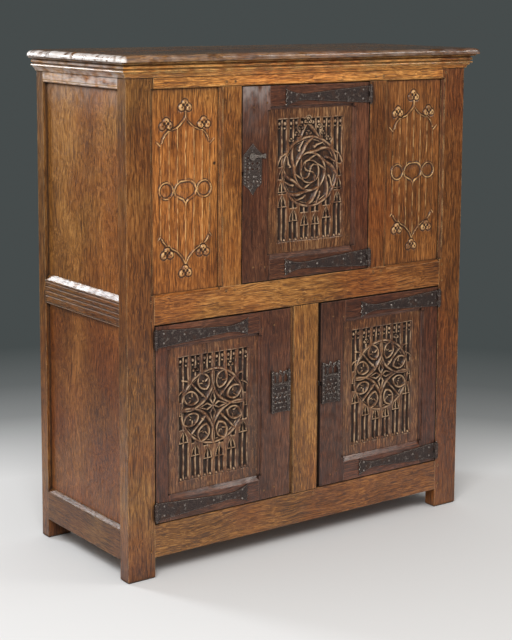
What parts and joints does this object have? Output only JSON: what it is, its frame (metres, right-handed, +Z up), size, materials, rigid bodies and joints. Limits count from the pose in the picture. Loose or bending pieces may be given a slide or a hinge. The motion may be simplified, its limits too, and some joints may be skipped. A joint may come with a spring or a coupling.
{
  "type": "court cupboard",
  "caption": "Tall Gothic oak cupboard with carved tracery doors on iron strap hinges, folded-parchment panels and an overhanging top.",
  "frame": {"origin": "on the floor, at the centre of the bounding box's footprint", "axes": "+Z up, the doors and the carved front face -Y, +X to the right when seen from the front"},
  "size_m": [1.344, 0.55, 1.5],
  "materials": {
    "oak_frame": "waxed oak, golden brown, worn edges",
    "oak_door": "waxed oak, dark red-brown",
    "oak_panel": "waxed oak, golden brown",
    "oak_carving": "carved waxed oak with dark hollows",
    "oak_top": "worn oak boards, dark brown",
    "oak_inside": "dry unwaxed oak",
    "iron": "forged black iron, worn at the edges"
  },
  "bodies": {
    "carcase": {"back_bottom_rail": "oak_inside", "back_left_stile": "oak_inside", "back_middle_rail": "oak_inside", "back_muntins": "oak_inside", "back_panels": "oak_panel", "back_right_stile": "oak_inside", "back_top_rail": "oak_inside", "frame_pegs": "oak_frame", "front_bottom_rail": "oak_frame", "front_cornice": "oak_frame", "front_left_stile": "oak_frame", "front_middle_rail": "oak_frame", "front_right_stile": "oak_frame", "front_top_rail": "oak_frame", "hinge_leaves": "iron", "hinge_pins": "iron", "left_bottom_rail": "oak_frame", "left_cornice": "oak_frame", "left_middle_rail": "oak_frame", "left_parchment_panel": "oak_panel", "left_side_panels": "oak_panel", "left_top_rail": "oak_frame", "lower_floor_boards": "oak_inside", "lower_muntin": "oak_frame", "right_bottom_rail": "oak_frame", "right_cornice": "oak_frame", "right_middle_rail": "oak_frame", "right_parchment_panel": "oak_panel", "right_side_panels": "oak_panel", "right_top_rail": "oak_frame", "top_boards": "oak_top", "upper_floor_boards": "oak_inside", "upper_left_muntin": "oak_frame", "upper_right_muntin": "oak_frame"},
    "upper_door": {"upper_door_bottom_rail": "oak_door", "upper_door_hinge_stile": "oak_door", "upper_door_lock_plate": "iron", "upper_door_lock_stile": "oak_door", "upper_door_panel": "oak_carving", "upper_door_straps": "iron", "upper_door_top_rail": "oak_door"},
    "lower_left_door": {"lower_left_door_bottom_rail": "oak_door", "lower_left_door_hinge_stile": "oak_door", "lower_left_door_lock_plate": "iron", "lower_left_door_lock_stile": "oak_door", "lower_left_door_panel": "oak_carving", "lower_left_door_straps": "iron", "lower_left_door_top_rail": "oak_door"},
    "lower_right_door": {"lower_right_door_bottom_rail": "oak_door", "lower_right_door_hinge_stile": "oak_door", "lower_right_door_lock_plate": "iron", "lower_right_door_lock_stile": "oak_door", "lower_right_door_panel": "oak_carving", "lower_right_door_straps": "iron", "lower_right_door_top_rail": "oak_door"},
    "upper_door_bolt": {"upper_door_bolt": "iron"},
    "lower_left_door_bolt": {"lower_left_door_bolt": "iron"},
    "lower_right_door_bolt": {"lower_right_door_bolt": "iron"},
    "latch": {"upper_door_latch_lever": "iron", "upper_door_latch_tongue": "iron"}
  },
  "joints": [
    {"name": "upper_door_hinge", "type": "hinge", "parent": "carcase", "child": "upper_door", "pos_m": [0.239, -0.2393, 1.113], "axis": [0, 0, 1], "range_deg": [0, 170]},
    {"name": "lower_left_door_hinge", "type": "hinge", "parent": "carcase", "child": "lower_left_door", "pos_m": [-0.538, -0.2393, 0.447], "axis": [0, 0, -1], "range_deg": [0, 170]},
    {"name": "lower_right_door_hinge", "type": "hinge", "parent": "carcase", "child": "lower_right_door", "pos_m": [0.538, -0.2393, 0.447], "axis": [0, 0, 1], "range_deg": [0, 170]},
    {"name": "upper_bolt_slide", "type": "slide", "parent": "upper_door", "child": "upper_door_bolt", "axis": [-1, 0, 0], "range_m": [0, 0.012]},
    {"name": "lower_left_bolt_slide", "type": "slide", "parent": "lower_left_door", "child": "lower_left_door_bolt", "axis": [1, 0, 0], "range_m": [0, 0.012]},
    {"name": "lower_right_bolt_slide", "type": "slide", "parent": "lower_right_door", "child": "lower_right_door_bolt", "axis": [-1, 0, 0], "range_m": [0, 0.012]},
    {"name": "latch_turn", "type": "hinge", "parent": "upper_door", "child": "latch", "pos_m": [-0.203, -0.21, 1.198], "axis": [0, 1, 0], "range_deg": [0, 90]}
  ]
}
